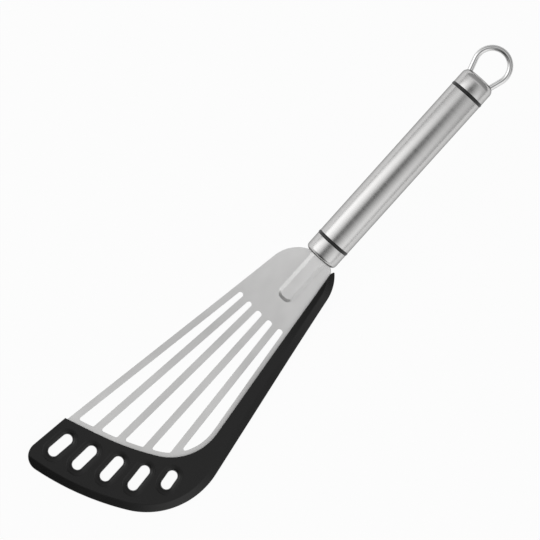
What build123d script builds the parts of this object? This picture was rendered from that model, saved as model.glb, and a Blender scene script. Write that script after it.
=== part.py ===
from build123d import *
from math import cos, radians, sin
import os

# Fish spatula with a slotted steel blade, a moulded silicone edge and a tubular handle.
# Millimetres. +Z is up and +X points along the tool to the hanging loop.
# The silicone edge lies flat on Z = 0, and the origin is on its underside, on the handle's centre line.
# Plan shapes are drawn from the point under the middle of the ferrule's face, with the front at negative X.

# Blade sheet, and its bend up to the handle
sheet_thickness = 1.0
blade_reach = 153.0
handle_angle = 14.0
neck_straight = 10.0
neck_bend_radius = 220.0

# Edge of the bare steel: a straight side from the ferrule, then three arcs round the front to the left
side_at_ferrule = 9.75
side_angle = 6.36
side_length = 104.3
front_corner_radius = 29.3
front_corner_sweep = 68.1
front_middle_radius = 146.6
front_middle_sweep = 11.4
front_left_radius = 439.0
front_left_sweep = 8.0

# Left edge of the steel, and the shoulder that takes it in to the ferrule
left_edge_at_ferrule = 16.0
left_edge_angle = 9.67
shoulder_radius = 19.0
shoulder_run = 14.8
shoulder_sweep = 65.0
neck_corner_radius = 3.4

# Slots of the blade: a fan of bars about a point on the handle's centre line
fan_centre_run = 79.0
fan_start_radius = 120.3
bar_angles = (-6.88, -3.70, -0.20, 3.24)
bar_width = 3.9
edge_bar_width = 3.65
front_strip_width = 2.4
slot_front_corner_radius = 1.0
slot_end_corner_radius = 1.4

# Raised rib on the handle's centre line, pressed up from the sheet
rib_length = 29.0
rib_width = 9.2
rib_height = 1.6
rib_corner_radius = 3.8
rib_crown_radius = 1.1
rib_hollow_stop = 3.0

# Margin of the steel inside the silicone, with the holes that lock the two together
embed_depth = 4.5
embed_cover = 2.0
key_hole_diameter = 2.4
key_hole_angles = (-9.2, -5.8, -2.4, 1.2, 4.9)
side_key_hole_count = 6

# Silicone edge
silicone_cover = 1.3
strip_at_ferrule = 6.05
strip_flare = 2.75
silicone_lead = 16.75
silicone_corner_radius = 42.4
silicone_corner_sweep = 71.4
silicone_front_radius = 151.8
silicone_front_sweep = 32.0
silicone_left_wrap = 1.1
silicone_left_angle = 7.96
silicone_left_corner_radius = 8.0
silicone_tip_radius = 23.0
silicone_tip_run = 13.5
silicone_end_run = 3.0
silicone_end_angle = 67.8
silicone_end_rounding = 0.5
bevel_height = 2.3
bevel_width = 3.9

# Through slots of the silicone, on rays from a point beside the handle's centre line
slot_fan_run = 66.0
slot_fan_offset = 5.0
slot_angles = (-7.52, -4.22, -0.59, 3.03, 6.65)
slot_gap = 7.0
slot_gap_shares = (1.06, 1.02, 0.975, 1.035, 1.465)
slot_length = 15.0
slot_length_shares = (0.965, 1.017, 1.01, 0.985, 0.705)
slot_width = 5.5
slot_rim_width = 2.3
slot_rim_depth = 1.2

# Handle
handle_diameter = 19.0
tube_length = 101.8
tube_wall = 1.0
ferrule_length = 9.9
ferrule_edge_radius = 2.5
ferrule_face_wall = 3.0
band_width = 1.65
band_stands_proud = 0.2
band_edge_radius = 0.5
spigot_length = 7.0
spigot_wall = 1.2
spigot_clearance = 0.1
cap_length = 10.0
cap_edge_radius = 3.7
cap_end_wall = 3.2
cap_wall = 1.2
tang_width = 12.0
tang_length = 24.0
tang_corner_radius = 2.0

# Hanging loop
wire_diameter = 3.0
loop_radius = 9.35
loop_centre_from_cap = 8.65
leg_angle = 17.5
wire_hole_clearance = 0.05
head_diameter = 4.2
head_length = 1.6

# Sizes that follow from the ones above
half_sheet = sheet_thickness / 2
half_silicone = half_sheet + silicone_cover
blade_level = half_silicone
slope = radians(handle_angle)
neck_x = blade_reach - neck_straight * cos(slope)
neck_z = blade_level + neck_bend_radius * (1 - cos(slope))
bend_x = neck_x - neck_bend_radius * sin(slope)
axis_level = neck_z + neck_straight * sin(slope)
handle_radius = handle_diameter / 2
spigot_radius = handle_radius - tube_wall - spigot_clearance
tube_start = ferrule_length + band_width
tube_end = tube_start + tube_length
cap_start = tube_end + band_width
cap_end = cap_start + cap_length
wire_radius = wire_diameter / 2
seat_width = 2 * (handle_radius - ferrule_edge_radius)

# Span of open areas and cuts, well past the whole blade, and the turn that counts as a corner
span = 2 * blade_reach
least_corner_turn = 8

along_handle = (cos(slope), 0, sin(slope))
above_handle = (-sin(slope), 0, cos(slope))
plan = Plane(origin=(blade_reach, 0, 0))
handle_face = Plane(origin=(blade_reach, 0, axis_level), x_dir=(0, 1, 0), z_dir=along_handle)
loop_plane = Plane(origin=(blade_reach, 0, axis_level), x_dir=along_handle, z_dir=above_handle)

blade_bends = (
    (front_corner_radius, front_corner_sweep),
    (front_middle_radius, front_middle_sweep),
    (front_left_radius, front_left_sweep),
)
silicone_bends = (
    (silicone_corner_radius, silicone_corner_sweep),
    (silicone_front_radius, silicone_front_sweep),
)


def layer(low, high):
    """The space between two surfaces that run parallel to the middle of the sheet, ahead of the ferrule."""
    front_x = blade_reach - span
    face = [Vector(blade_reach, axis_level) + Vector(0, d).rotate(Axis.Z, handle_angle) for d in (low, high)]
    flat = [Vector(bend_x, blade_level + d) for d in (low, high)]
    with BuildPart() as space:
        with BuildSketch(Plane.XZ):
            with BuildLine():
                lower_bend = JernArc(flat[0], (1, 0), neck_bend_radius - low, handle_angle)
                upper_bend = JernArc(flat[1], (1, 0), neck_bend_radius - high, handle_angle)
                Polyline(lower_bend @ 1, face[0], face[1], upper_bend @ 1)
                Polyline(flat[1], (front_x, blade_level + high), (front_x, blade_level + low), flat[0])
            make_face()
        extrude(amount=span, both=True)
    return space.part


def inside_front(side_offset, angle, length, bends, grow):
    """The plan area inside a side line and the arcs that go on from it round the front, moved out by grow."""
    heading = 180 + angle
    outwards = Vector(grow, 0).rotate(Axis.Z, heading + 90)
    near = Vector(0, -side_offset) + outwards - Vector(length, 0).rotate(Axis.Z, heading)
    with BuildSketch() as area:
        with BuildLine():
            edge = PolarLine(near, 2 * length, heading)
            for radius, sweep in bends:
                edge = JernArc(edge @ 1, edge % 1, radius + grow, -sweep)
            Polyline(edge @ 1, (near.X, span), near)
        make_face()
    return area.sketch


def bare_front(grow):
    """The plan area inside the front and side edges of the bare steel, moved outwards by grow."""
    return inside_front(side_at_ferrule, side_angle, side_length, blade_bends, grow)


def silicone_front(grow):
    """The plan area inside the outer edge of the silicone, moved outwards by grow."""
    offset = side_at_ferrule + strip_at_ferrule
    with BuildSketch() as area:
        add(inside_front(offset, side_angle + strip_flare, side_length + silicone_lead, silicone_bends, grow))
        with BuildSketch(mode=Mode.INTERSECT):
            with Locations(Location((0, -offset, 0), side_angle + strip_flare)):
                with Locations((-silicone_tip_run, silicone_tip_radius)):
                    Circle(silicone_tip_radius + grow)
                with Locations((-silicone_tip_run, 0)):
                    Rectangle(span, 2 * span, align=(Align.MAX, Align.CENTER))
    return area.sketch


def right_of(point, angle, inset):
    """The plan area on the right of a left edge line through a point, moved inwards by inset."""
    with BuildSketch() as area:
        with Locations(Location(tuple(point), -angle)):
            with Locations((0, -inset)):
                Rectangle(2 * span, span, align=(Align.CENTER, Align.MAX))
    return area.sketch


def ahead_of(x):
    """The plan area in front of a cross line."""
    with BuildSketch() as area:
        with Locations((x, 0)):
            Rectangle(span, 2 * span, align=(Align.MAX, Align.CENTER))
    return area.sketch


def real_corners(sketch):
    """The vertices where two edges of a sketch meet at an angle."""
    corners = []
    for wire in sketch.wires():
        edges = wire.order_edges()
        for edge, following in zip(edges, edges[1:] + edges[:1]):
            if (edge % 1).get_angle(following % 0) > least_corner_turn:
                corners.append(edge @ 1)
    near = sheet_thickness / 100
    return sketch.vertices().filter_by(lambda v: any((Vector(v) - c).length < near for c in corners))


# Left edge and corner of the bare steel
left_edge_start = Vector(0, left_edge_at_ferrule)
with BuildSketch() as bare_steel:
    add(bare_front(0))
    add(right_of(left_edge_start, left_edge_angle, 0), mode=Mode.INTERSECT)
    add(ahead_of(0), mode=Mode.INTERSECT)
front_left_corner = bare_steel.vertices().sort_by(Axis.X)[0]


def ray_to_front(centre, angle, past):
    """A point on a ray from a centre, past the front edge of the bare steel by a distance."""
    ahead = Vector(-1, 0).rotate(Axis.Z, angle)
    ray = Edge.make_line(centre, centre + ahead * span)
    inside = ray.intersect(bare_front(0).face())
    edge_point = ShapeList(inside).vertices().sort_by(Axis.X)[0]
    return Vector(edge_point) + ahead * past


# Shoulder that takes the left edge in to the ferrule
with BuildSketch() as shoulder_area:
    with BuildLine():
        start = left_edge_start + Vector(-shoulder_run, 0).rotate(Axis.Z, -left_edge_angle)
        shoulder = JernArc(start, left_edge_start - start, shoulder_radius, -shoulder_sweep)
        end = shoulder @ 1
        Polyline(end, (end.X, -span), (-span, -span), (-span, span), (start.X, span), start)
    make_face()

# Outline of the whole sheet, with the margin that the silicone hides
with BuildSketch(plan) as sheet_outline:
    add(bare_front(embed_depth))
    add(silicone_front(-embed_cover), mode=Mode.INTERSECT)
    add(ahead_of(-silicone_tip_run), mode=Mode.INTERSECT)
    add(bare_front(0))
    add(right_of(left_edge_start, left_edge_angle, 0), mode=Mode.INTERSECT)
    add(shoulder_area.sketch, mode=Mode.INTERSECT)
    add(ahead_of(0), mode=Mode.INTERSECT)
    fillet(sheet_outline.vertices().group_by(Axis.X)[-1].sort_by(Axis.Y)[0], neck_corner_radius)
    Rectangle(ferrule_face_wall, seat_width)

# Points that the bars and the silicone's slots spread from
fan_centre = Vector(fan_centre_run, 0)
slot_fan_centre = Vector(slot_fan_run, slot_fan_offset)

# Openings between the bars
with BuildSketch(plan) as blade_slots:
    add(bare_front(-front_strip_width))
    add(right_of(left_edge_start, left_edge_angle, edge_bar_width), mode=Mode.INTERSECT)
    add(ahead_of(0), mode=Mode.INTERSECT)
    with Locations(fan_centre):
        Circle(fan_start_radius, mode=Mode.SUBTRACT)
    for angle in bar_angles:
        with Locations(Location(tuple(fan_centre), angle)):
            Rectangle(span, bar_width, align=(Align.MAX, Align.CENTER), mode=Mode.SUBTRACT)
    by_distance = real_corners(blade_slots.sketch).sort_by(lambda v: (Vector(v) - fan_centre).length)
    narrow_end_corners = 2 * (len(bar_angles) + 1)
    fillet(by_distance[:narrow_end_corners], slot_end_corner_radius)
    fillet(real_corners(blade_slots.sketch), slot_front_corner_radius)


# Key holes of the steel inside the front margin and along the side margin
with BuildSketch(plan) as key_holes:
    for angle in key_hole_angles:
        with Locations(ray_to_front(slot_fan_centre, angle, embed_depth / 2)):
            Circle(key_hole_diameter / 2)
    side_pitch = side_length / (side_key_hole_count + 1)
    with Locations(Location((0, -side_at_ferrule - embed_depth / 2, 0), side_angle)):
        with Locations((-side_length / 2, 0)):
            with GridLocations(side_pitch, side_pitch, side_key_hole_count, 1):
                Circle(key_hole_diameter / 2)

# Blade: slotted sheet with a pressed rib, and the tang that the handle holds
rib_top = half_sheet + rib_height
with BuildPart() as rib:
    with BuildSketch(plan):
        RectangleRounded(2 * rib_length, rib_width, rib_corner_radius)
    extrude(amount=span)
    add(layer(0, rib_top), mode=Mode.INTERSECT)
    crown = rib.faces().filter_by(lambda f: f.normal_at().Z > cos(2 * slope)).edges()
    fillet(crown.filter_by(lambda e: (e @ 0.5).X < blade_reach - rib_width / 4), rib_crown_radius)

with BuildPart() as rib_hollow:
    with BuildSketch(plan):
        inner_length = 2 * (rib_length - sheet_thickness)
        RectangleRounded(inner_length, rib_width - 2 * sheet_thickness, rib_corner_radius - sheet_thickness)
        add(ahead_of(-rib_hollow_stop), mode=Mode.INTERSECT)
    extrude(amount=span)
    add(layer(-sheet_thickness, rib_top - sheet_thickness), mode=Mode.INTERSECT)

with BuildPart() as blade:
    add(sheet_outline.sketch)
    extrude(amount=span)
    add(layer(-half_sheet, half_sheet), mode=Mode.INTERSECT)
    add(rib.part)
    add(rib_hollow.part, mode=Mode.SUBTRACT)
    with BuildSketch(handle_face):
        Rectangle(tang_width, sheet_thickness)
    extrude(amount=tang_length)
    tang_corners = blade.edges().filter_by(Axis(blade.part.center(), above_handle)).sort_by(Axis.X)[-2:]
    fillet(tang_corners, tang_corner_radius)
    add(blade_slots.sketch)
    extrude(amount=span, both=True, mode=Mode.SUBTRACT)
    add(key_holes.sketch)
    extrude(amount=span, both=True, mode=Mode.SUBTRACT)
blade.part.label = "blade"

# Silicone edge: one moulding round the blade's front and side margins, with bevelled edge and rimmed slots
left_start = Vector(front_left_corner) + Vector(0, silicone_left_wrap)
with BuildSketch(plan) as silicone_area:
    add(silicone_front(0))
    add(right_of(left_start, silicone_left_angle, 0), mode=Mode.INTERSECT)
    add(ahead_of(0), mode=Mode.INTERSECT)

with BuildSketch(plan) as silicone_outline:
    add(silicone_area.sketch_local)
    fillet(silicone_outline.vertices().sort_by(Axis.X)[0], silicone_left_corner_radius)
    add(bare_front(0), mode=Mode.SUBTRACT)
    with Locations(Location((-silicone_end_run, -side_at_ferrule, 0), silicone_end_angle)):
        Rectangle(silicone_tip_run, silicone_tip_run, align=(Align.MIN, Align.CENTER), mode=Mode.SUBTRACT)
    fillet(silicone_outline.vertices().sort_by(Axis.X)[-1], silicone_end_rounding)


def slot_place(angle, gap_share, length_share):
    """The plan location and the length of one slot of the silicone."""
    length = slot_length * length_share
    centre = ray_to_front(slot_fan_centre, angle, slot_gap * gap_share + length / 2)
    return Location(tuple(centre), angle), length


with BuildPart() as silicone_edge:
    add(silicone_area.sketch)
    extrude(amount=span)
    add(layer(-half_silicone, half_silicone), mode=Mode.INTERSECT)
    flat_top = silicone_edge.faces().filter_by(Plane.XY).sort_by(Axis.Z)[-1]
    lip = flat_top.edges().filter_by(GeomType.CIRCLE).sort_by(SortBy.LENGTH)[-1]
    chamfer(lip, bevel_width, bevel_height, reference=flat_top)
    with BuildSketch(plan):
        add(silicone_outline.sketch_local)
    extrude(amount=span, mode=Mode.INTERSECT)
    for angle, gap_share, length_share in zip(slot_angles, slot_gap_shares, slot_length_shares):
        place, length = slot_place(angle, gap_share, length_share)
        for side, level in ((1, 2 * half_silicone), (-1, 0)):
            with BuildSketch(plan.offset(level)):
                with Locations(place):
                    SlotOverall(length + 2 * slot_rim_width, slot_width + 2 * slot_rim_width)
            with BuildSketch(plan.offset(level - side * slot_rim_depth)):
                with Locations(place):
                    SlotOverall(length, slot_width)
            loft(ruled=True, mode=Mode.SUBTRACT)
        with BuildSketch(plan):
            with Locations(place):
                SlotOverall(length, slot_width)
        extrude(amount=span, mode=Mode.SUBTRACT)
    add(blade.part, mode=Mode.SUBTRACT)
silicone_edge.part.label = "silicone_edge"

# Ferrule: collar with a rounded face, a slot for the tang, and a spigot into the tube
with BuildPart() as ferrule:
    with BuildSketch(handle_face):
        Circle(handle_radius)
    extrude(amount=ferrule_length)
    fillet(ferrule.edges().sort_by(Axis(handle_face.origin, along_handle))[0], ferrule_edge_radius)
    with BuildSketch(handle_face.offset(ferrule_length)):
        Circle(spigot_radius)
    extrude(amount=band_width + spigot_length)
    with BuildSketch(handle_face.offset(ferrule_face_wall)):
        Circle(spigot_radius - spigot_wall)
    extrude(amount=tube_start + spigot_length, mode=Mode.SUBTRACT)
    with BuildSketch(handle_face):
        Rectangle(tang_width, sheet_thickness)
    extrude(amount=tang_length, mode=Mode.SUBTRACT)
ferrule.part.label = "ferrule"


def band(start):
    """A ring with rounded edges that sits on a spigot and stands a little proud of the handle."""
    with BuildPart() as ring:
        with BuildSketch(handle_face.offset(start)):
            Circle(handle_radius + band_stands_proud)
            Circle(spigot_radius + spigot_clearance, mode=Mode.SUBTRACT)
        extrude(amount=band_width)
        fillet(ring.edges().group_by(SortBy.LENGTH)[-1], band_edge_radius)
    return ring


lower_band = band(ferrule_length)
lower_band.part.label = "lower_band"
upper_band = band(tube_end)
upper_band.part.label = "upper_band"

# Handle tube
with BuildPart() as handle_tube:
    with BuildSketch(handle_face.offset(tube_start)):
        Circle(handle_radius)
        Circle(handle_radius - tube_wall, mode=Mode.SUBTRACT)
    extrude(amount=tube_length)
handle_tube.part.label = "handle_tube"

# Hanging loop: two straight legs that run into a round bow, with upset ends inside the cap
cap_inside = cap_end - cap_end_wall
bow_end_run = cap_end + loop_centre_from_cap - loop_radius * sin(radians(leg_angle))
leg_end_run = cap_inside - head_diameter / 2 * sin(radians(leg_angle)) - wire_hole_clearance
leg_length = (bow_end_run - leg_end_run) / cos(radians(leg_angle))
with BuildPart() as hanging_loop:
    with BuildLine(loop_plane) as wire_path:
        bow_centre = (cap_end + loop_centre_from_cap, 0)
        bow = CenterArc(bow_centre, loop_radius, -90 - leg_angle, 180 + 2 * leg_angle)
        left_leg = PolarLine(bow @ 1, leg_length, direction=bow % 1)
        right_leg = PolarLine(bow @ 0, leg_length, direction=(bow % 0) * -1)
    with BuildSketch(Plane(origin=left_leg @ 1, z_dir=left_leg % 1)):
        Circle(wire_radius)
    sweep()
    for leg in (left_leg, right_leg):
        with BuildSketch(Plane(origin=leg @ 1, z_dir=leg % 1)):
            Circle(head_diameter / 2)
        extrude(amount=head_length)
hanging_loop.part.label = "hanging_loop"

# End cap: rounded cup with two holes for the loop's legs, and a spigot into the tube
with BuildPart() as end_cap:
    with BuildSketch(handle_face.offset(cap_start)):
        Circle(handle_radius)
    extrude(amount=cap_length)
    fillet(end_cap.edges().sort_by(Axis(handle_face.origin, along_handle))[-1], cap_edge_radius)
    with BuildSketch(handle_face.offset(tube_end - spigot_length)):
        Circle(spigot_radius)
    extrude(amount=spigot_length + band_width)
    with BuildSketch(handle_face.offset(tube_end - spigot_length)):
        Circle(spigot_radius - spigot_wall)
    extrude(amount=cap_inside - tube_end + spigot_length, mode=Mode.SUBTRACT)
    with BuildSketch(handle_face.offset(cap_start + cap_wall)):
        Circle(handle_radius - cap_wall)
    extrude(amount=cap_length - cap_end_wall - cap_wall, mode=Mode.SUBTRACT)
    for leg in (left_leg, right_leg):
        with BuildSketch(Plane(origin=leg @ 1, z_dir=(leg % 1) * -1)):
            Circle(wire_radius + wire_hole_clearance)
        extrude(amount=2 * cap_length, mode=Mode.SUBTRACT)
end_cap.part.label = "end_cap"

os.makedirs("parts", exist_ok=True)
for piece in (blade, silicone_edge, ferrule, lower_band, handle_tube, upper_band, end_cap, hanging_loop):
    export_step(piece.part, f"parts/{piece.part.label}.step")
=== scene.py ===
import math

import bpy
import numpy as np
from mathutils import Matrix, Vector
from mathutils.geometry import delaunay_2d_cdt


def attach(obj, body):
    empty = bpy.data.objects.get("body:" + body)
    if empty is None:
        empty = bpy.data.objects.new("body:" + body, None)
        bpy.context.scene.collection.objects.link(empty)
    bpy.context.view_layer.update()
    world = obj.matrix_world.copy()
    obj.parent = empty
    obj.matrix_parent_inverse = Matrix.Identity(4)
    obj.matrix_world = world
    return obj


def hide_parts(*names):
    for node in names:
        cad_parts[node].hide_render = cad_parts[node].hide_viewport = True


# Fish spatula. The frame is the CAD model's, in metres. Sizes are in millimetres, apart from those
# of the camera, the floor and the textures, which are in metres. A plan point is a complex number,
# x + y * 1j, in millimetres from the middle of the ferrule's face.

# Blade sheet and its bend, as in the CAD model
sheet_thickness = 1.0
blade_reach = 153.0
handle_angle = math.radians(14)
neck_straight = 10.0
neck_bend_radius = 220.0
side_at_ferrule = 9.75
side_angle = 6.36
side_length = 104.3
blade_bends = ((29.3, 68.1), (146.6, 11.4), (439.0, 8.0))
left_edge_at_ferrule = 16.0
left_edge_angle = 9.67
shoulder_radius = 19.0
shoulder_run = 14.8
shoulder_sweep = 65.0
neck_corner_radius = 3.4
seat_depth = 1.5
seat_width = 14.0
tang_width = 12.0
tang_length = 24.0
hidden_margin = 2.0
margin_step_inner = 5.0
margin_step_outer = 40.0
sheet_edge_radius = 0.18

# Openings between the blade's bars
fan_centre = 79.0
fan_start_radius = 120.3
bar_angles = (-6.88, -3.70, -0.20, 3.24)
bar_width = 3.9
edge_bar_width = 3.65
front_strip_width = 2.4
near_arc_spread = 20
bar_line_start = 100
bar_line_end = 280
slot_front_corner_radius = 1.0
slot_end_corner_radius = 1.4

# Pressed rib. The foot and the crown are the widths of the soft turns at its bottom and top.
rib_length = 28.4
rib_width = 9.2
rib_height = 1.6
rib_corner_radius = 3.8
rib_foot = 0.45
rib_crown = 1.9
rib_front_crown = 1.0
rib_hollow_stop = 3.0
rib_hollow_fade = 2.0
rib_hollow_inset = 0.75

# Silicone edge. The slots' rims are round on top, with a bead beyond, and slope on the underside.
silicone_cover = 1.3
strip_at_ferrule = 6.05
strip_flare = 2.75
silicone_lead = 16.75
silicone_bends = ((42.4, 71.4), (151.8, 26.0))
silicone_left_wrap = 1.1
silicone_left_angle = 7.96
silicone_left_corner_radius = 8.0
silicone_tip_radius = 23.0
silicone_tip_run = 13.5
silicone_tip_sweep = 75
silicone_end_reach = (1, 11)
silicone_end_run = 3.0
silicone_end_angle = 67.8
silicone_end_rounding = 0.5
bevel_height = 2.3
bevel_width = 3.9
silicone_edge_radius = 0.35
slot_fan_centre = 66.0 + 5.0j
slot_angles = (-7.52, -4.22, -0.59, 3.03, 6.65)
slot_gap = 7.0
slot_gap_shares = (1.06, 1.02, 0.975, 1.035, 1.465)
slot_length = 15.0
slot_length_shares = (0.965, 1.017, 1.01, 0.985, 0.705)
slot_width = 5.5
slot_rim_width = 2.3
slot_rim_depth = 1.2
rim_round_depth = 1.9
rim_steepest_share = 0.985
bead_height = 0.12
bead_width = 0.25
crease_softness = 0.09

# Handle
handle_radius = 9.5
tube_length = 101.8
tube_wall = 1.0
ferrule_length = 9.9
ferrule_edge_radius = 2.5
band_width = 1.65
band_stands_proud = 0.2
band_edge_radius = 0.5
band_clearance = 0.1
spigot_radius = 8.4
spigot_length = 7.0
spigot_wall = 1.2
ferrule_face_wall = 3.0
cap_length = 10.0
cap_edge_radius = 3.7
cap_end_wall = 3.2
cap_wall = 1.2
tube_end_radius = 0.25
cap_bore_rounding = 0.5
small_rounding = 0.2
bore_rounding = 0.1
pole_radius = 0.01

# Hanging loop
wire_radius = 1.5
loop_radius = 9.35
loop_centre_from_cap = 8.65
leg_angle = math.radians(17.5)
head_radius = 2.1
head_length = 1.6
wire_hole_clearance = 0.05

# How finely the shapes are drawn
arc_step = 0.4
least_arc_steps = 3
corner_step = 0.15
least_corner_steps = 4
line_reach = 300
front_lead = 20
shoulder_lead = 200
right_side_start = 3
slope_step = 0.02
edge_rings = 4
stadium_steps = 24
row_share = 0.866
sheet_run = 0.8
sheet_grid_low = -157 - 30j
sheet_grid_high = 25 + 50j
sheet_grid_spacing = 1.6
sheet_grid_clearance = 0.6
rib_grid_low = -30.5 - 6j
rib_grid_high = 0.5 + 6j
rib_grid_spacing = 0.35
rib_grid_clearance = 0.3
rib_grid_gap = 0.5
silicone_run = 0.6
silicone_grid_low = -185 - 40j
silicone_grid_high = 50j
silicone_grid_spacing = 0.75
silicone_grid_clearance = 0.55
ridge_run = 0.5
ridge_clearance = 0.45
bevel_ridge_shares = (0.9, 1.0, 1.1)
rim_ridge_shares = (0.22, 0.42, 0.7, 0.9, 1.0, 1.1, 1.2)
turned_segments = 192
rounding_steps = 8
wire_step = 0.25
wire_segments = 48

# Tolerances
no_turn = 1e-12
doubled_point = 1e-6
doubled_ring = 1e-9
merged_point = 1e-7
far_away = 1e9
safe_share = 0.9

# Sizes that follow from the ones above
mm = 0.001
half_sheet = sheet_thickness / 2
half_silicone = half_sheet + silicone_cover
neck_x = -neck_straight * math.cos(handle_angle)
bend_x = neck_x - neck_bend_radius * math.sin(handle_angle)
axis_level = half_silicone + neck_bend_radius * (1 - math.cos(handle_angle))
axis_level += neck_straight * math.sin(handle_angle)
tube_start = ferrule_length + band_width
tube_end = tube_start + tube_length
cap_start = tube_end + band_width
cap_end = cap_start + cap_length
full_turn = 2 * math.pi

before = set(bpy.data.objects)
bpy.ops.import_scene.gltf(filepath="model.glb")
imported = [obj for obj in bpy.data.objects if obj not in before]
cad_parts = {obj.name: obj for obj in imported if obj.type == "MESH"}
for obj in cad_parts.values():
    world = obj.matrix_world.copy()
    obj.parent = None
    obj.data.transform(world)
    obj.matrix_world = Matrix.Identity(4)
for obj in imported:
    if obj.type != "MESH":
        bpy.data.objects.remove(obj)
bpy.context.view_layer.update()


# Plan curves


def heading(degrees):
    """Unit plan vector at an angle from the handle's axis."""
    return complex(math.cos(math.radians(degrees)), math.sin(math.radians(degrees)))


def walk(start, direction, moves, step=arc_step):
    """Curve of straight runs and arcs.

    A move is a run's length, or an arc's radius and its turn in degrees.
    """
    points = [start]
    for move in moves:
        if isinstance(move, tuple):
            radius, turn = move
            side = 1j if turn > 0 else -1j
            centre = points[-1] + side * radius * direction
            count = max(least_arc_steps, math.ceil(radius * abs(math.radians(turn)) / step))
            arm = points[-1] - centre
            points += [centre + arm * heading(turn * k / count) for k in range(1, count + 1)]
            direction *= heading(turn)
        else:
            points.append(points[-1] + move * direction)
    return np.array(points)


def front_curve(side_offset, angle, length, bends, grow):
    """A side line from the ferrule and the arcs that follow it round the front, moved outwards."""
    ahead = heading(180 + angle)
    start = -1j * side_offset + 1j * grow * ahead
    arcs = [(radius + grow, -turn) for radius, turn in bends]
    return walk(start - front_lead * ahead, ahead, [length + front_lead, *arcs])


def bare_front(grow):
    """The front and side edges of the bare steel, moved outwards."""
    return front_curve(side_at_ferrule, side_angle, side_length, blade_bends, grow)


def line(point, degrees, before=line_reach, beyond=line_reach):
    """A straight line through a point."""
    ahead = heading(degrees)
    return np.array([point - before * ahead, point + beyond * ahead])


def moved_right(curve, distance):
    """A curve moved to its right side."""
    runs = np.diff(curve)
    runs = runs / np.abs(runs)
    along = np.concatenate((runs[:1], runs[:-1] + runs[1:], runs[-1:]))
    along = along / np.abs(along)
    return curve - 1j * distance * along


def crossing(first, second):
    """The places where the first curve meets the second, as point numbers with fractions."""
    a = first[:-1, None]
    b = np.diff(first)[:, None]
    c = second[None, :-1]
    d = np.diff(second)[None, :]
    turn = (np.conj(b) * d).imag
    turn = np.where(np.abs(turn) < no_turn, no_turn, turn)
    on_first = (np.conj(c - a) * d).imag / turn
    on_second = (np.conj(c - a) * b).imag / turn
    met = (on_first >= 0) & (on_first <= 1) & (on_second >= 0) & (on_second <= 1)
    i, j = np.argwhere(met)[0]
    return i + on_first[i, j], j + on_second[i, j]


def point_at(curve, place):
    """The point of a curve at a place."""
    k = min(int(place), len(curve) - 2)
    return curve[k] + (place - k) * (curve[k + 1] - curve[k])


def nearest_place(curve, point):
    """The place of a curve nearest to a point."""
    runs = np.diff(curve)
    share = np.clip(((point - curve[:-1]) * np.conj(runs)).real / np.abs(runs) ** 2, 0, 1)
    k = np.argmin(np.abs(curve[:-1] + share * runs - point))
    return k + share[k]


def outline(curves, radii):
    """Closed clockwise outline along curves that cross in turn.

    Each crossing is rounded to its radius, and stays sharp where that is 0.
    """
    corners = []
    for curve, following, radius in zip(curves, curves[1:] + curves[:1], radii):
        if radius:
            place, _ = crossing(moved_right(curve, radius), moved_right(following, radius))
            centre = point_at(moved_right(curve, radius), place)
            leave = nearest_place(curve, centre)
            arrive = nearest_place(following, centre)
            start = point_at(curve, leave) - centre
            turn = np.angle((point_at(following, arrive) - centre) / start)
            count = max(least_corner_steps, math.ceil(radius * abs(turn) / corner_step))
            arc = centre + start * np.exp(1j * turn * np.arange(count + 1) / count)
        else:
            leave, arrive = crossing(curve, following)
            arc = np.array([point_at(curve, leave)])
        corners.append((leave, arrive, arc))
    points = []
    for number, curve in enumerate(curves):
        start = corners[number - 1][1]
        leave, _, arc = corners[number]
        points += list(curve[math.floor(start) + 1:math.ceil(leave)])
        points += list(arc)
    return np.array(points)


def with_short_runs(points, step):
    """A closed outline with no run longer than a step, and no doubled points."""
    made = []
    for near, far in zip(points, np.roll(points, -1)):
        count = max(1, math.ceil(abs(far - near) / step))
        if abs(far - near) > doubled_point:
            made += [near + (far - near) * k / count for k in range(count)]
    return np.array(made)


def gaps_to(points, curve, closed):
    """Distance from each point to a curve, and the direction away from the curve."""
    ends = np.append(curve, curve[0]) if closed else curve
    best = np.full(len(points), far_away)
    away = np.zeros(len(points), complex)
    for near, far in zip(ends[:-1], ends[1:]):
        run = far - near
        share = np.clip(((points - near) * np.conj(run)).real / abs(run) ** 2, 0, 1)
        apart = points - near - share * run
        gap = np.abs(apart)
        closer = gap < best
        best = np.where(closer, gap, best)
        away = np.where(closer, apart, away)
    return best, away


def is_inside(points, outlines):
    """Whether each point is within the outlines, counting how often a ray crosses them."""
    inside = np.zeros(len(points), bool)
    for curve in outlines:
        for near, far in zip(curve, np.roll(curve, -1)):
            if near.imag == far.imag:
                continue
            beside = (near.imag > points.imag) != (far.imag > points.imag)
            reach = near.real + (points.imag - near.imag) * (far - near).real / (far - near).imag
            inside ^= beside & (points.real < reach)
    return inside


def level(x, above):
    """Height over the floor of the surface a distance above the middle of the bent sheet."""
    above = np.broadcast_to(above, x.shape)
    radius = neck_bend_radius - above
    run = np.clip(x - bend_x, 0, None)
    centre_level = half_silicone + neck_bend_radius
    curved = centre_level - np.sqrt(radius ** 2 - np.minimum(run, radius * safe_share) ** 2)
    straight = axis_level + x * math.tan(handle_angle) + above / math.cos(handle_angle)
    return np.where(run < radius * math.sin(handle_angle), curved, straight)


# Meshes


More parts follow.
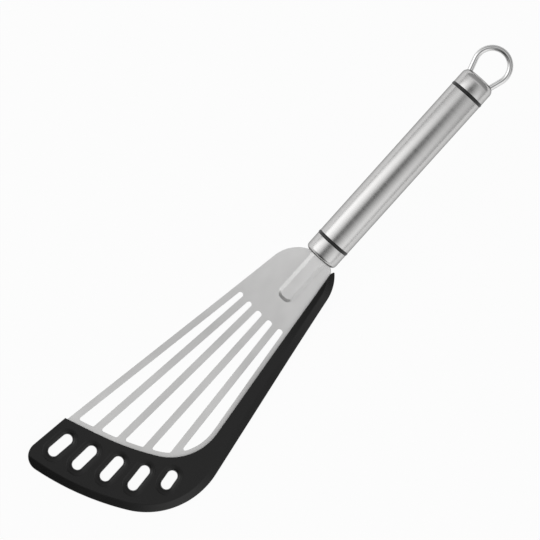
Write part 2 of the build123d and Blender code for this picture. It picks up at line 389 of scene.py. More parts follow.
def new_piece(name, points, faces, material, replaced, normals=None, place=None):
    """A piece from millimetre points that rides on the root body and stands for a CAD node."""
    mesh = bpy.data.meshes.new(name)
    mesh.from_pydata([tuple(p) for p in np.asarray(points) * mm], [], faces)
    mesh.polygons.foreach_set("use_smooth", [True] * len(mesh.polygons))
    mesh.materials.append(material)
    mesh.update()
    if normals is not None:
        mesh.normals_split_custom_set_from_vertices([tuple(n) for n in normals])
    piece = bpy.data.objects.new(name, mesh)
    bpy.context.scene.collection.objects.link(piece)
    if place:
        piece.matrix_world = place
    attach(piece, "root")
    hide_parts(replaced)
    return piece


def surface_normals(plan_points, height, side):
    """Normals of a height field, upwards for side 1 and downwards for side -1."""
    step = slope_step
    slope_x = (height(plan_points + step) - height(plan_points - step)) / (2 * step)
    slope_y = (height(plan_points + 1j * step) - height(plan_points - 1j * step)) / (2 * step)
    normals = np.stack((-slope_x, -slope_y, np.ones_like(slope_x)), 1)
    return side * normals / np.linalg.norm(normals, axis=1)[:, None]


def plate(outlines, top, bottom, edge_radius, spots):
    """Points, faces and normals of a plate between two height fields, with rounded edges.

    The outer outline runs clockwise and the openings' ones against it. Spots are the inner points.
    """
    points = []
    normals = []
    faces = []
    count = 0
    inset_loops = []
    for curve in outlines:
        along = np.roll(curve, -1) - np.roll(curve, 1)
        outwards = 1j * along / np.abs(along)
        size = len(curve)
        loop_rings = []
        for side, height in ((1, top), (-1, bottom)):
            for k in range(edge_rings + 1):
                angle = math.pi / 2 * (1 - k / edge_rings) if side == 1 else math.pi / 2 * k / edge_rings
                inset = edge_radius * (1 - math.cos(angle))
                ring = curve - outwards * inset
                z = height(ring) - side * edge_radius * (1 - math.sin(angle))
                flat = surface_normals(ring, height, side)
                wall = np.stack((outwards.real, outwards.imag, np.zeros(size)), 1)
                normal = wall * math.cos(angle) + flat * math.sin(angle)
                normal = normal / np.linalg.norm(normal, axis=1)[:, None]
                points.append(np.stack((ring.real, ring.imag, z), 1))
                normals.append(normal)
                loop_rings.append(count)
                count += size
        inset_loops.append((curve - outwards * edge_radius, loop_rings[0], loop_rings[-1]))
        for upper, lower in zip(loop_rings[:-1], loop_rings[1:]):
            for k in range(size):
                after = (k + 1) % size
                faces.append((upper + k, upper + after, lower + after, lower + k))
    insets = [curve for curve, _, _ in inset_loops]
    flat_points = np.concatenate([*insets, spots])
    constraint = []
    first = 0
    for curve in insets:
        constraint += [(first + k, first + (k + 1) % len(curve)) for k in range(len(curve))]
        first += len(curve)
    vectors = [Vector((p.real, p.imag)) for p in flat_points]
    made = delaunay_2d_cdt(vectors, constraint, [], 0, merged_point, True)
    placed = np.array([complex(p.x, p.y) for p in made[0]])
    triangles = np.array(made[2])
    source = made[3]
    kept = triangles[is_inside(placed[triangles].mean(axis=1), insets)]
    for side, height, column in ((1, top, 1), (-1, bottom, 2)):
        number = {}
        first = 0
        for loop in inset_loops:
            for k in range(len(loop[0])):
                number[first + k] = loop[column] + k
            first += len(loop[0])
        index = np.empty(len(placed), int)
        fresh = []
        for k, inputs in enumerate(source):
            known = [number[i] for i in inputs if i in number]
            if known:
                index[k] = known[0]
            else:
                index[k] = count + len(fresh)
                fresh.append(k)
        inner = placed[fresh]
        points.append(np.stack((inner.real, inner.imag, height(inner)), 1))
        normals.append(surface_normals(inner, height, side))
        count += len(fresh)
        for a, b, c in index[kept]:
            faces.append((a, b, c) if side == 1 else (c, b, a))
    return np.concatenate(points), faces, np.concatenate(normals)


def spots_in(outlines, low, high, spacing, clearance):
    """Inner points of a plate on a staggered grid, clear of the outlines."""
    rows = np.arange(low.imag, high.imag, spacing * row_share)
    columns = np.arange(low.real, high.real, spacing)
    grid = np.concatenate([columns + (k % 2) * spacing / 2 + 1j * y for k, y in enumerate(rows)])
    grid = grid[is_inside(grid, outlines)]
    for curve in outlines:
        gap, _ = gaps_to(grid, curve, True)
        grid = grid[gap > clearance]
    return grid


# Plan outlines

left_edge_start = 1j * left_edge_at_ferrule
left_edge = line(left_edge_start, -left_edge_angle)
shoulder_start = left_edge_start - shoulder_run * heading(-left_edge_angle)
left_and_shoulder = walk(
    shoulder_start - shoulder_lead * heading(-left_edge_angle),
    heading(-left_edge_angle),
    [shoulder_lead, (shoulder_radius, -shoulder_sweep)],
)
half_tang = tang_width / 2
half_seat = seat_width / 2
neck = np.array([
    -seat_depth + half_seat * 1j,
    seat_depth + half_seat * 1j,
    seat_depth + half_tang * 1j,
    tang_length + half_tang * 1j,
    tang_length - half_tang * 1j,
    seat_depth - half_tang * 1j,
    seat_depth - half_seat * 1j,
    -seat_depth - half_seat * 1j,
])
corner_run = neck_corner_radius * math.tan(math.radians(45 - side_angle / 2))
right_side = walk(-1j * right_side_start, heading(-90), [
    side_at_ferrule - right_side_start - corner_run,
    (neck_corner_radius, side_angle - 90),
    side_length - corner_run,
    *[(radius, -turn) for radius, turn in blade_bends],
])
margin_step = -silicone_tip_run - 1j * np.array([margin_step_inner, margin_step_outer])
sheet_outline = outline(
    [neck, right_side, margin_step, bare_front(hidden_margin), left_and_shoulder],
    [0, 0, 0, 0, 0],
)

near_arc = walk(
    fan_centre - fan_start_radius * heading(-near_arc_spread),
    heading(-90 - near_arc_spread),
    [(fan_start_radius, 2 * near_arc_spread)],
)
inner_front = bare_front(-front_strip_width)


def bar_line(angle, side):
    """One long edge of a bar: side 1 runs forwards on its left, side -1 backwards on its right."""
    ahead = -heading(angle)
    edge = fan_centre - side * 1j * ahead * bar_width / 2
    ends = np.array([edge + bar_line_start * ahead, edge + bar_line_end * ahead])
    return ends if side == 1 else ends[::-1]


end_corner = slot_end_corner_radius
front_corner = slot_front_corner_radius
right_edges = [bar_line(angle, 1) for angle in bar_angles]
left_edges = [moved_right(left_edge, edge_bar_width)]
left_edges += [bar_line(angle, -1) for angle in bar_angles[:-1]]
blade_openings = []
for right_edge, left_side in zip(right_edges, left_edges):
    blade_openings.append(outline(
        [near_arc, right_edge, inner_front, left_side],
        [end_corner, front_corner, front_corner, end_corner],
    ))
blade_openings.append(outline(
    [near_arc, inner_front, bar_line(bar_angles[-1], -1)],
    [end_corner, front_corner, end_corner],
))

# Silicone outlines
side_frame = -1j * (side_at_ferrule + strip_at_ferrule)
strip_direction = heading(side_angle + strip_flare)
tip_centre = side_frame + strip_direction * complex(-silicone_tip_run, silicone_tip_radius)
silicone_front = walk(
    tip_centre + strip_direction * silicone_tip_radius * heading(silicone_tip_sweep - 90),
    strip_direction * heading(silicone_tip_sweep - 180),
    [
        (silicone_tip_radius, -silicone_tip_sweep),
        side_length + silicone_lead - silicone_tip_run,
        *[(radius, -turn) for radius, turn in silicone_bends],
    ],
)
steel_front = bare_front(0)
corner_place, _ = crossing(steel_front, left_edge)
front_left_corner = point_at(steel_front, corner_place)
silicone_left = line(front_left_corner + 1j * silicone_left_wrap, -silicone_left_angle)
end_start = -silicone_end_run - 1j * side_at_ferrule
tip_end = line(end_start, silicone_end_angle - 90, *silicone_end_reach)
silicone_outline = outline(
    [silicone_front, silicone_left, steel_front[::-1], tip_end],
    [silicone_left_corner_radius, 0, 0, silicone_end_rounding],
)

slot_spines = []
for angle, gap_share, length_share in zip(slot_angles, slot_gap_shares, slot_length_shares):
    ahead = -heading(angle)
    ray = np.array([slot_fan_centre, slot_fan_centre + line_reach * ahead])
    place, _ = crossing(ray, steel_front)
    length = slot_length * length_share
    centre = point_at(ray, place) + ahead * (slot_gap * gap_share + length / 2)
    half_spine = (length - slot_width) / 2
    slot_spines.append((centre - ahead * half_spine, centre + ahead * half_spine))


def stadium(spine, radius):
    """Outline at a distance around a spine."""
    ahead = (spine[1] - spine[0]) / abs(spine[1] - spine[0])
    half = np.exp(1j * math.pi * (np.arange(stadium_steps + 1) / stadium_steps - 0.5))
    return np.concatenate((spine[1] + radius * ahead * half, spine[0] - radius * ahead * half))


slot_outlines = [stadium(spine, slot_width / 2) for spine in slot_spines]


# Materials. The first numbers are the Mix node's places for its inputs and results, and the ranges
# are those that most noise values lie in, alone or averaged with another.
mix_numbers = (2, 3)
mix_colours = (6, 7)
mixed_number = 0
mixed_colour = 2
noise_range = (0.3, 0.7)
averaged_range = (0.35, 0.65)


class Shading:
    """Node material with a Principled shader, and short ways to add its texture nodes.

    The plain colour and roughness lie behind the linked ones, for programs that drop the links.
    """

    def __init__(self, name, colour, metallic, roughness):
        self.material = bpy.data.materials.new(name)
        self.material.use_nodes = True
        self.tree = self.material.node_tree
        self.shader = self.tree.nodes["Principled BSDF"]
        self.shader.inputs["Base Color"].default_value = (*colour, 1)
        self.shader.inputs["Metallic"].default_value = metallic
        self.shader.inputs["Roughness"].default_value = roughness

    def node(self, kind, settings=None, **inputs):
        """A new node. Inputs are plain values or other nodes' outputs, by socket name."""
        made = self.tree.nodes.new(kind)
        for name, value in (settings or {}).items():
            setattr(made, name, value)
        for name, value in inputs.items():
            socket = made.inputs[name.replace("_", " ")]
            if isinstance(value, bpy.types.NodeSocket):
                self.tree.links.new(value, socket)
            else:
                socket.default_value = value
        return made

    def place(self, scale):
        """The piece's own coordinates, stretched."""
        coordinates = self.node("ShaderNodeTexCoord").outputs["Object"]
        return self.node("ShaderNodeMapping", Vector=coordinates, Scale=scale).outputs["Vector"]

    def noise(self, scale, detail, rough):
        """Noise from 0 to 1, with its features per metre along each axis."""
        place = self.place(scale)
        made = self.node("ShaderNodeTexNoise", Vector=place, Scale=1.0, Detail=detail, Roughness=rough)
        return made.outputs["Fac"]

    def spread(self, value, low, high, least, most):
        """A noise value mapped from its usual range, least to most, to the range low to high."""
        made = self.node("ShaderNodeMapRange", Value=value)
        made.inputs["From Min"].default_value = least
        made.inputs["From Max"].default_value = most
        made.inputs["To Min"].default_value = low
        made.inputs["To Max"].default_value = high
        return made.outputs["Result"]

    def colours(self, share, first, second):
        """A base colour between two, by a share."""
        made = self.node("ShaderNodeMix", {"data_type": "RGBA"})
        self.tree.links.new(share, made.inputs["Factor"])
        for place, colour in zip(mix_colours, (first, second)):
            made.inputs[place].default_value = (*colour, 1)
        self.use(made.outputs[mixed_colour], "Base Color")

    def average(self, first, second):
        """Two numbers mixed half and half."""
        made = self.node("ShaderNodeMix", {"data_type": "FLOAT"})
        for place, value in zip(mix_numbers, (first, second)):
            self.tree.links.new(value, made.inputs[place])
        return made.outputs[mixed_number]

    def bump(self, height, distance, strength):
        """Surface relief from a height value, with its depth in metres."""
        made = self.node("ShaderNodeBump", Height=height, Distance=distance, Strength=strength)
        self.tree.links.new(made.outputs["Normal"], self.shader.inputs["Normal"])

    def use(self, value, socket):
        """Links a value to the shader."""
        self.tree.links.new(value, self.shader.inputs[socket])


def blade_finish():
    """Satin sheet: fine grain along the handle, and soft clouds of painted reflection in its colour."""
    steel = Shading("blade_steel", (0.62, 0.61, 0.60), metallic=1, roughness=0.42)
    clouds = steel.noise((22, 34, 34), detail=3, rough=0.5)
    grain = steel.noise((150, 3200, 3200), detail=3, rough=0.6)
    tone = steel.average(clouds, grain)
    # The clouds lighten and darken the base colour in patches: painted reflections of the surroundings.
    steel.colours(steel.spread(clouds, 0, 1, *noise_range), (0.80, 0.796, 0.79), (0.99, 0.986, 0.98))
    steel.use(steel.spread(tone, 0.47, 0.55, *averaged_range), "Roughness")
    steel.bump(grain, distance=0.00001, strength=0.3)
    steel.shader.inputs["Anisotropic"].default_value = 0.85
    steel.use(steel.node("ShaderNodeCombineXYZ", Y=1.0).outputs[0], "Tangent")
    return steel.material


def handle_finish():
    """Steel brushed round the handle, with painted shade at its edges."""
    steel = Shading("handle_steel", (0.62, 0.61, 0.60), metallic=1, roughness=0.3)
    grain = steel.noise((60, 60, 4200), detail=3, rough=0.6)
    bands = steel.noise((8, 8, 500), detail=2, rough=0.5)
    tone = steel.average(grain, bands)
    steel.colours(steel.spread(tone, 0, 1, *averaged_range), (0.59, 0.585, 0.58), (0.64, 0.635, 0.63))
    steel.use(steel.spread(tone, 0.17, 0.23, *averaged_range), "Roughness")
    steel.bump(grain, distance=0.00001, strength=0.12)
    steel.shader.inputs["Anisotropic"].default_value = 0.75
    # The grey Specular Tint darkens the reflections where the surface turns away: painted shade along
    # the handle's edges.
    steel.shader.inputs["Specular Tint"].default_value = (0.4, 0.4, 0.4, 1)
    tangent = steel.node("ShaderNodeTangent", {"direction_type": "RADIAL", "axis": "Z"})
    steel.use(tangent.outputs["Tangent"], "Tangent")
    return steel.material


def silicone_finish():
    """Matt moulded silicone with a fine spark-eroded texture."""
    rubber = Shading("silicone", (0.012, 0.012, 0.012), metallic=0, roughness=0.5)
    clouds = rubber.noise((70, 70, 70), detail=3, rough=0.5)
    pores = rubber.noise((2600, 2600, 2600), detail=2, rough=0.6)
    share = rubber.spread(clouds, 0, 1, *noise_range)
    rubber.colours(share, (0.006, 0.006, 0.0062), (0.009, 0.0088, 0.0086))
    tone = rubber.average(clouds, pores)
    rubber.use(rubber.spread(tone, 0.26, 0.36, *averaged_range), "Roughness")
    rubber.shader.inputs["Specular IOR Level"].default_value = 0.42
    rubber.bump(pores, distance=0.00003, strength=0.25)
    return rubber.material


def band_finish():
    """Smooth black rubber of the rings."""
    rubber = Shading("band_rubber", (0.012, 0.012, 0.012), metallic=0, roughness=0.4)
    clouds = rubber.noise((300, 300, 300), detail=3, rough=0.5)
    share = rubber.spread(clouds, 0, 1, *noise_range)
    rubber.colours(share, (0.010, 0.010, 0.010), (0.016, 0.016, 0.0155))
    rubber.use(rubber.spread(clouds, 0.34, 0.46, *noise_range), "Roughness")
    rubber.bump(clouds, distance=0.00002, strength=0.2)
    return rubber.material


def wire_finish():
    """Bright drawn wire, slightly uneven, with painted dark reflections along its edges."""
    wire = Shading("loop_wire", (0.8, 0.8, 0.8), metallic=1, roughness=0.08)
    clouds = wire.noise((260, 260, 260), detail=3, rough=0.5)
    share = wire.spread(clouds, 0, 1, *noise_range)
    wire.colours(share, (0.76, 0.758, 0.755), (0.84, 0.84, 0.84))
    wire.use(wire.spread(clouds, 0.05, 0.13, *noise_range), "Roughness")
    # The grey Specular Tint darkens the grazing reflections: painted dark reflections along the wire's
    # edges.
    wire.shader.inputs["Specular Tint"].default_value = (0.2, 0.2, 0.2, 1)
    wire.bump(clouds, distance=0.00002, strength=0.1)
    return wire.material


blade_steel = blade_finish()
handle_steel = handle_finish()
silicone = silicone_finish()
band_rubber = band_finish()
loop_wire = wire_finish()

# Blade


def smooth_ramp(t):
    """0 to 1 with level ends."""
    t = np.clip(t, 0, 1)
    return t * t * (3 - 2 * t)


def rib_share(points, inset):
    """How much of the rib's height each plan point has, 0 to 1.

    The inset makes the rib smaller all round, for its hollow in the underside.
    """
    radius = rib_corner_radius - inset
    x = np.abs(points.real) - (rib_length - inset - radius)
    y = np.abs(points.imag) - (rib_width / 2 - inset - radius)
    beyond = np.hypot(np.maximum(x, 0), np.maximum(y, 0)) + np.minimum(np.maximum(x, y), 0) - radius
    in_front = np.clip(x, 0, radius) / radius
    crown = rib_crown + (rib_front_crown - rib_crown) * in_front
    return smooth_ramp((rib_foot - beyond) / (rib_foot + crown))


def blade_top(points):
    return level(points.real, half_sheet + rib_height * rib_share(points, 0))


def blade_bottom(points):
    fade = smooth_ramp((-rib_hollow_stop - points.real) / rib_hollow_fade)
    hollow = rib_height * rib_share(points, rib_hollow_inset) * fade
    return level(points.real, -half_sheet + hollow)


sheet_loops = [with_short_runs(sheet_outline, sheet_run)]
sheet_loops += [with_short_runs(opening, sheet_run)[::-1] for opening in blade_openings]
grid = spots_in(sheet_loops, sheet_grid_low, sheet_grid_high, sheet_grid_spacing, sheet_grid_clearance)
fine = spots_in(sheet_loops, rib_grid_low, rib_grid_high, rib_grid_spacing, rib_grid_clearance)
near_rib = np.abs(grid.imag) < rib_grid_high.imag + rib_grid_gap
near_rib &= grid.real > rib_grid_low.real - rib_grid_gap
near_rib &= grid.real < rib_grid_high.real + rib_grid_gap
spots = np.concatenate((grid[~near_rib], fine))
points, faces, normals = plate(sheet_loops, blade_top, blade_bottom, sheet_edge_radius, spots)
points[:, 0] += blade_reach
new_piece("blade_sheet", points, faces, blade_steel, "blade", normals)

# Silicone


def soft_floor(value, width):
    """The larger of 0 and a value, with a soft turn."""
    t = np.clip((value + width) / (2 * width), 0, 1)
    return np.where(value > width, value, width * t * t)


def top_drop(points):
    """How far the top lies below its flat level: the outer bevel and the slots' rims."""
    gap, _ = gaps_to(points, silicone_front, False)
    drop = bevel_height * soft_floor(1 - gap / bevel_width, crease_softness)
    for spine in slot_spines:
        apart, _ = gaps_to(points, np.array(spine), False)
        apart = apart - slot_width / 2
        share = np.clip(1 - apart / slot_rim_width, 0, rim_steepest_share)
        drop = drop + rim_round_depth * (1 - np.sqrt(1 - share ** 2))
        from_bead = (apart - slot_rim_width - bead_width) / bead_width
        drop = drop - bead_height * np.exp(-from_bead ** 2)
    return drop


def underside_drop(points):
    """How far the slots' rims go into the underside."""
    drop = np.zeros(len(points))
    for spine in slot_spines:
        apart, _ = gaps_to(points, np.array(spine), False)
        apart = apart - slot_width / 2
        drop = drop + slot_rim_depth * soft_floor(1 - apart / slot_rim_width, crease_softness)
    return drop


def silicone_top(points):
    return level(points.real, half_silicone) - top_drop(points)


def silicone_bottom(points):
    return level(points.real, -half_silicone) + underside_drop(points)


silicone_loops = [with_short_runs(silicone_outline, silicone_run)]
silicone_loops += [with_short_runs(curve, silicone_run) for curve in slot_outlines]
spots = spots_in(
    silicone_loops,
    silicone_grid_low,
    silicone_grid_high,
    silicone_grid_spacing,
    silicone_grid_clearance,
)
ridges = [moved_right(silicone_front, bevel_width * share) for share in bevel_ridge_shares]
for share in rim_ridge_shares:
    ridges += [stadium(spine, slot_width / 2 + slot_rim_width * share) for spine in slot_spines]
ridge_spots = np.concatenate([with_short_runs(ridge, ridge_run) for ridge in ridges])
ridge_spots = ridge_spots[is_inside(ridge_spots, silicone_loops)]
for curve in silicone_loops:
    gap, _ = gaps_to(ridge_spots, curve, True)
    ridge_spots = ridge_spots[gap > ridge_clearance]
spots = np.concatenate((spots, ridge_spots))
points, faces, normals = plate(
    silicone_loops, silicone_top, silicone_bottom, silicone_edge_radius, spots
)
points[:, 0] += blade_reach
new_piece("silicone_moulding", points, faces, silicone, "silicone_edge", normals)

# Handle pieces, turned about the local Z axis, which runs from the ferrule's face to the loop
along_handle = Vector((math.cos(handle_angle), 0, math.sin(handle_angle)))
above_handle = Vector((-math.sin(handle_angle), 0, math.cos(handle_angle)))
handle_place = Matrix.Identity(4)
handle_place.col[0].xyz = above_handle
handle_place.col[1].xyz = along_handle.cross(above_handle)
handle_place.col[2].xyz = along_handle
handle_place.translation = Vector((blade_reach, 0, axis_level)) * mm


def rounded_corner(before, here, after, radius):
    """The arc that rounds a corner of a profile."""
    back = (before - here) / abs(before - here)
    on = (after - here) / abs(after - here)
    half_turn = abs(np.angle(on / back)) / 2
    start = here + back * radius / math.tan(half_turn)
    centre = here + (back + on) / abs(back + on) * radius / math.sin(half_turn)
    end = here + on * radius / math.tan(half_turn)
    swing = np.angle((end - centre) / (start - centre))
    steps = np.arange(rounding_steps + 1) / rounding_steps
    return centre + (start - centre) * np.exp(1j * swing * steps)


def turned(name, corners, material, replaced):
    """A closed turned piece. Corners are (run, radius, rounding), with the piece on their right."""
    profile = []
    for k, (run, radius, rounding) in enumerate(corners):
        here = complex(run, radius)
        if rounding:
            before = complex(*corners[k - 1][:2])
            after = complex(*corners[(k + 1) % len(corners)][:2])
            profile += list(rounded_corner(before, here, after, rounding))
        else:
            profile += [here, here]
    points = []
    for spot in profile:
        for k in range(turned_segments):
            angle = k * full_turn / turned_segments
            points.append((spot.imag * math.cos(angle), spot.imag * math.sin(angle), spot.real))
    faces = []
    for k in range(len(profile)):
        following = (k + 1) % len(profile)
        if abs(profile[k] - profile[following]) < doubled_ring:
            continue
        ring = k * turned_segments
        next_ring = following * turned_segments
        for s in range(turned_segments):
            beside = (s + 1) % turned_segments
            faces.append((ring + s, ring + beside, next_ring + beside, next_ring + s))
    return new_piece(name, points, faces, material, replaced, None, handle_place)


spigot_bore = spigot_radius - spigot_wall
lower_spigot_end = tube_start + spigot_length
upper_spigot_end = tube_end - spigot_length
turned("ferrule_collar", [
    (0, pole_radius, 0),
    (0, handle_radius, ferrule_edge_radius),
    (ferrule_length, handle_radius, small_rounding),
    (ferrule_length, spigot_radius, 0),
    (lower_spigot_end, spigot_radius, small_rounding),
    (lower_spigot_end, spigot_bore, small_rounding),
    (ferrule_face_wall, spigot_bore, 0),
    (ferrule_face_wall, pole_radius, 0),
], handle_steel, "ferrule")
turned("tube", [
    (tube_start, handle_radius - tube_wall, bore_rounding),
    (tube_start, handle_radius, tube_end_radius),
    (tube_end, handle_radius, tube_end_radius),
    (tube_end, handle_radius - tube_wall, bore_rounding),
], handle_steel, "handle_tube")
band_bore = spigot_radius + band_clearance
band_radius = handle_radius + band_stands_proud
bands = (("ring_lower", "lower_band", ferrule_length), ("ring_upper", "upper_band", tube_end))
for name, replaced, start in bands:
    turned(name, [
        (start, band_bore, 0),
        (start, band_radius, band_edge_radius),
        (start + band_width, band_radius, band_edge_radius),
        (start + band_width, band_bore, 0),
    ], band_rubber, replaced)
turned("cap_shell", [
    (cap_end - cap_end_wall, pole_radius, 0),
    (cap_end - cap_end_wall, handle_radius - cap_wall, cap_bore_rounding),
    (cap_start + cap_wall, handle_radius - cap_wall, small_rounding),
    (cap_start + cap_wall, spigot_bore, small_rounding),
    (upper_spigot_end, spigot_bore, small_rounding),
    (upper_spigot_end, spigot_radius, small_rounding),
    (cap_start, spigot_radius, 0),
    (cap_start, handle_radius, small_rounding),
    (cap_end, handle_radius, cap_edge_radius),
    (cap_end, pole_radius, 0),
], handle_steel, "end_cap")

# Hanging loop: one wire swept along a leg, the bow and the other leg, with upset ends inside the cap
leg_direction = np.exp(-1j * leg_angle)
bow_end = complex(cap_end + loop_centre_from_cap, 0) - loop_radius * 1j * leg_direction
leg_end_run = cap_end - cap_end_wall - head_radius * math.sin(leg_angle) - wire_hole_clearance
leg_length = (bow_end.real - leg_end_run) / math.cos(leg_angle)
bow_sweep = 180 + 2 * math.degrees(leg_angle)
wire_path = walk(
    bow_end - (leg_length + head_length) * leg_direction,
    leg_direction,
    [head_length, leg_length, (loop_radius, bow_sweep), leg_length, head_length],
    wire_step,
)
wire_along = np.gradient(wire_path)
wire_along = wire_along / np.abs(wire_along)
wire_rings = [(0, pole_radius), (0, head_radius), (1, head_radius), (1, wire_radius)]
wire_rings += [(k, wire_radius) for k in range(2, len(wire_path) - 2)]
wire_rings += [(-2, wire_radius), (-2, head_radius), (-1, head_radius), (-1, pole_radius)]
points = []
normals = []
faces = []
for number, (k, radius) in enumerate(wire_rings):
    ring = number * wire_segments
    last_ring = ring - wire_segments
    for s in range(wire_segments):
        angle = s * full_turn / wire_segments
        sideways = 1j * wire_along[k] * math.cos(angle)
        spot = wire_path[k] + radius * sideways
        points.append((radius * math.sin(angle), spot.imag, spot.real))
        normals.append((math.sin(angle), sideways.imag, sideways.real))
        if number:
            beside = (s + 1) % wire_segments
            faces.append((last_ring + s, ring + s, ring + beside, last_ring + beside))
new_piece("wire_loop", points, faces, loop_wire, "hanging_loop", normals, handle_place)

# Camera: almost straight above, leaning towards the blade, with the handle up to the right
view_target = Vector((0.13228, 0.01499, 0.0))
view_distance = 0.94028
view_lean = math.radians(8.5)
view_turn = math.radians(48.097)
camera_back = Vector((-math.sin(view_lean), 0, math.cos(view_lean)))
lean_along = Vector((math.cos(view_lean), 0, math.sin(view_lean)))
camera_right = lean_along * math.cos(view_turn) - Vector((0, 1, 0)) * math.sin(view_turn)
camera_up = camera_back.cross(camera_right)
camera_data = bpy.data.cameras.new("camera")
camera_data.lens = 118.67
camera_data.sensor_width = 36
camera_data.clip_start = 0.01
camera_data.clip_end = 20
camera = bpy.data.objects.new("camera", camera_data)
bpy.context.scene.collection.objects.link(camera)
camera_place = Matrix.Identity(4)
camera_place.col[0].xyz = camera_right
camera_place.col[1].xyz = camera_up
camera_place.col[2].xyz = camera_back
camera_place.translation = view_target + camera_back * view_distance
camera.matrix_world = camera_place
bpy.context.scene.camera = camera

# Floor: pale, and near white to the camera and in reflections, with the object's shadow kept. It
# lies a hair below the object, so that the two faces don't mix in a view from below.
floor_level = -0.0002
floor_reach = 4
floor_glow_share = 0.95
floor_mesh = bpy.data.meshes.new("floor")
floor_mesh.from_pydata([
    (-floor_reach, -floor_reach, floor_level), (floor_reach, -floor_reach, floor_level),
    (floor_reach, floor_reach, floor_level), (-floor_reach, floor_reach, floor_level),
], [], [(0, 1, 2, 3)])
floor = bpy.data.objects.new("floor", floor_mesh)
bpy.context.scene.collection.objects.link(floor)


def seen_share(tree, share):
    """A share for camera, glossy and transmission rays, and 0 for the rest."""
    path = tree.nodes.new("ShaderNodeLightPath")
    total = path.outputs["Is Camera Ray"]
    for name in ("Is Glossy Ray", "Is Transmission Ray"):
        larger = tree.nodes.new("ShaderNodeMath")
        larger.operation = "MAXIMUM"
        tree.links.new(total, larger.inputs[0])
        tree.links.new(path.outputs[name], larger.inputs[1])
        total = larger.outputs[0]
    scaled = tree.nodes.new("ShaderNodeMath")
    scaled.operation = "MULTIPLY"
    scaled.inputs[1].default_value = share
    tree.links.new(total, scaled.inputs[0])
    return scaled.outputs[0]


floor_material = bpy.data.materials.new("floor")
floor_material.use_nodes = True
floor_tree = floor_material.node_tree
floor_shader = floor_tree.nodes["Principled BSDF"]
floor_shader.inputs["Base Color"].default_value = (0.9, 0.9, 0.9, 1)
floor_shader.inputs["Roughness"].default_value = 0.9
floor_shader.inputs["Specular IOR Level"].default_value = 0
glow = floor_tree.nodes.new("ShaderNodeEmission")
floor_mix = floor_tree.nodes.new("ShaderNodeMixShader")
floor_tree.links.new(seen_share(floor_tree, floor_glow_share), floor_mix.inputs[0])
floor_tree.links.new(floor_shader.outputs[0], floor_mix.inputs[1])
floor_tree.links.new(glow.outputs[0], floor_mix.inputs[2])
floor_tree.links.new(floor_mix.outputs[0], floor_tree.nodes["Material Output"].inputs["Surface"])
floor_mesh.materials.append(floor_material)

# World: soft light from both sides of the handle, with a dark gap over the handle's axis. The gap
# fades out in the light that the blade's flat front reflects. It is white to the camera. Positions
# are shares: 0.5 of the turn about X is overhead, 0.5 along X is the middle, and a height of 0 is
# the horizon.
world_strength = 1.62
handle_light = (
    (0.20, 0.40), (0.25, 0.80), (0.29, 1.05), (0.33, 1.0), (0.392, 0.74),
    (0.43, 0.50), (0.462, 0.28), (0.475, 0.09), (0.515, 0.13), (0.535, 0.21),
    (0.571, 0.34), (0.646, 0.60), (0.69, 0.72), (0.75, 0.5), (0.80, 0.4),
)
blade_light = ((0.20, 0.30), (0.27, 0.45), (0.34, 0.50), (0.5, 0.46), (0.667, 0.42), (0.80, 0.3))
blade_light_share = ((0.42, 0.0), (0.5, 1.0))
light_along = (
    (0.0, 0.12), (0.1, 0.2), (0.2, 0.75), (0.3, 1.0), (0.5, 1.02),
    (0.57, 0.86), (0.63, 0.6), (0.7, 0.5), (1.0, 0.5),
)
light_by_height = ((0.0, 0.5), (0.04, 0.5), (0.13, 1.0))
world = bpy.data.worlds.new("world")
bpy.context.scene.world = world
world.use_nodes = True
world_tree = world.node_tree
coordinates = world_tree.nodes.new("ShaderNodeTexCoord")
direction = world_tree.nodes.new("ShaderNodeSeparateXYZ")
world_tree.links.new(coordinates.outputs["Generated"], direction.inputs[0])


def world_math(operation, first, second):
    """Two values or sockets combined by a Math node."""
    made = world_tree.nodes.new("ShaderNodeMath")
    made.operation = operation
    for number, value in enumerate((first, second)):
        if isinstance(value, bpy.types.NodeSocket):
            world_tree.links.new(value, made.inputs[number])
        else:
            made.inputs[number].default_value = value
    return made.outputs[0]


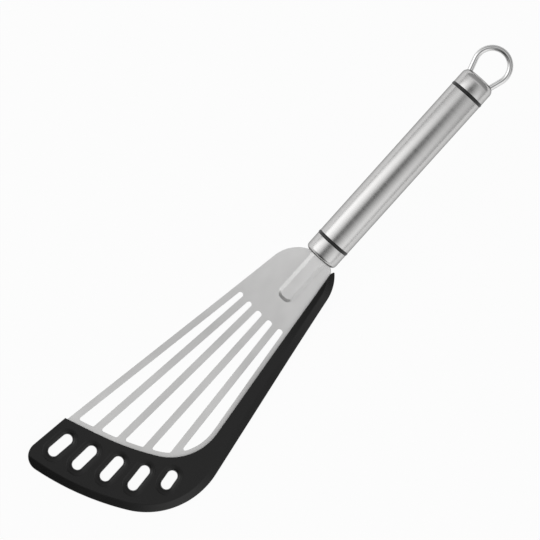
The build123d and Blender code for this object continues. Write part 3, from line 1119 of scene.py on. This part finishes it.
def world_ramp(value, stops):
    """A grey by position, through stops of (position, grey)."""
    ramp = world_tree.nodes.new("ShaderNodeValToRGB")
    elements = ramp.color_ramp.elements
    while len(elements) < len(stops):
        elements.new(0.5)
    for element, (position, grey) in zip(elements, stops):
        element.position = position
        element.color = (grey, grey, grey, 1)
    world_tree.links.new(value, ramp.inputs[0])
    return ramp.outputs[0]


def world_blend(kind, factor, first, second):
    """Two colours mixed or multiplied."""
    made = world_tree.nodes.new("ShaderNodeMix")
    made.data_type = "RGBA"
    made.blend_type = kind
    if isinstance(factor, bpy.types.NodeSocket):
        world_tree.links.new(factor, made.inputs["Factor"])
    else:
        made.inputs["Factor"].default_value = factor
    for place, colour in zip(mix_colours, (first, second)):
        world_tree.links.new(colour, made.inputs[place])
    return made.outputs[mixed_colour]


to_side = world_math("MULTIPLY", direction.outputs["Y"], -1.0)
turn = world_math("ARCTAN2", to_side, direction.outputs["Z"])
turn = world_math("ADD", world_math("DIVIDE", turn, full_turn), 0.5)
lengthwise = world_math("ADD", world_math("DIVIDE", direction.outputs["X"], 2.0), 0.5)
light = world_blend(
    "MIX",
    world_ramp(lengthwise, blade_light_share),
    world_ramp(turn, handle_light),
    world_ramp(turn, blade_light),
)
light = world_blend("MULTIPLY", 1.0, light, world_ramp(lengthwise, light_along))
light = world_blend("MULTIPLY", 1.0, light, world_ramp(direction.outputs["Z"], light_by_height))
background = world_tree.nodes["Background"]
world_tree.links.new(light, background.inputs["Color"])
background.inputs["Strength"].default_value = world_strength
white = world_tree.nodes.new("ShaderNodeBackground")
white.inputs["Color"].default_value = (1, 1, 1, 1)
seen_or_light = world_tree.nodes.new("ShaderNodeMixShader")
camera_ray = world_tree.nodes.new("ShaderNodeLightPath").outputs["Is Camera Ray"]
world_tree.links.new(camera_ray, seen_or_light.inputs[0])
world_tree.links.new(background.outputs[0], seen_or_light.inputs[1])
world_tree.links.new(white.outputs[0], seen_or_light.inputs[2])
world_tree.links.new(seen_or_light.outputs[0], world_tree.nodes["World Output"].inputs["Surface"])

bpy.context.scene.view_settings.view_transform = "Standard"
